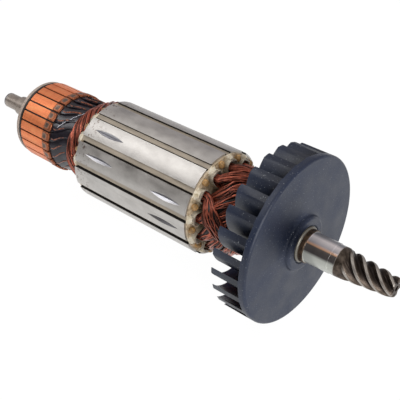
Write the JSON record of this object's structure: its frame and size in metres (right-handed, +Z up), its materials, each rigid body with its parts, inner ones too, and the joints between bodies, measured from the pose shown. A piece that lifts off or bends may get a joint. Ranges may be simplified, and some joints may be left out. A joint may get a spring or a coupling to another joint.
{
  "type": "motor armature",
  "caption": "Motor armature: long shaft with an integral tapered helical pinion, a moulded fan, a wound laminated core and a hook-type commutator.",
  "frame": {"origin": "on the shaft's axis, at the middle of the drive-end bearing's width on its seat", "axes": "+X along the shaft towards the helical pinion; the armature is round about X, and +Z is up as it lies in the picture"},
  "size_m": [0.2103, 0.068, 0.068],
  "materials": {
    "shaft_steel": "turned and ground steel, lightly oiled",
    "bush_steel": "turned steel ring",
    "core_steel": "stacked electrical steel sheets with specks of rust",
    "insulator": "pale tan fibre and varnish",
    "liner": "cream insulating paper",
    "wedge": "cream insulating strip",
    "winding": "varnished copper wire, reddish brown",
    "lead": "dark varnish over copper",
    "commutator_copper": "turned copper, bright orange, fine brush marks",
    "resin": "dark brown-grey moulding resin",
    "fan_plastic": "grey-green moulded plastic, slightly satin",
    "sleeve": "tan glass-filled plastic"
  },
  "bodies": {
    "root": {"shaft": "shaft_steel", "shaft_sleeve": "sleeve", "core_stack": "core_steel", "fan_end_insulator": "insulator", "commutator_end_insulator": "insulator", "slot_liners": "liner", "slot_wedges": "wedge", "lead_wires": "lead", "commutator_hub": "resin", "fan": "fan_plastic", "fan_bush": "bush_steel", "coil_1": "winding", "coil_2": "winding", "coil_3": "winding", "coil_4": "winding", "coil_5": "winding", "coil_6": "winding", "coil_7": "winding", "coil_8": "winding", "coil_9": "winding", "coil_10": "winding", "coil_11": "winding", "coil_12": "winding", "commutator_bar_1": "commutator_copper", "commutator_bar_2": "commutator_copper", "commutator_bar_3": "commutator_copper", "commutator_bar_4": "commutator_copper", "commutator_bar_5": "commutator_copper", "commutator_bar_6": "commutator_copper", "commutator_bar_7": "commutator_copper", "commutator_bar_8": "commutator_copper", "commutator_bar_9": "commutator_copper", "commutator_bar_10": "commutator_copper", "commutator_bar_11": "commutator_copper", "commutator_bar_12": "commutator_copper", "commutator_bar_13": "commutator_copper", "commutator_bar_14": "commutator_copper", "commutator_bar_15": "commutator_copper", "commutator_bar_16": "commutator_copper", "commutator_bar_17": "commutator_copper", "commutator_bar_18": "commutator_copper", "commutator_bar_19": "commutator_copper", "commutator_bar_20": "commutator_copper", "commutator_bar_21": "commutator_copper", "commutator_bar_22": "commutator_copper", "commutator_bar_23": "commutator_copper", "commutator_bar_24": "commutator_copper"}
  },
  "joints": []
}
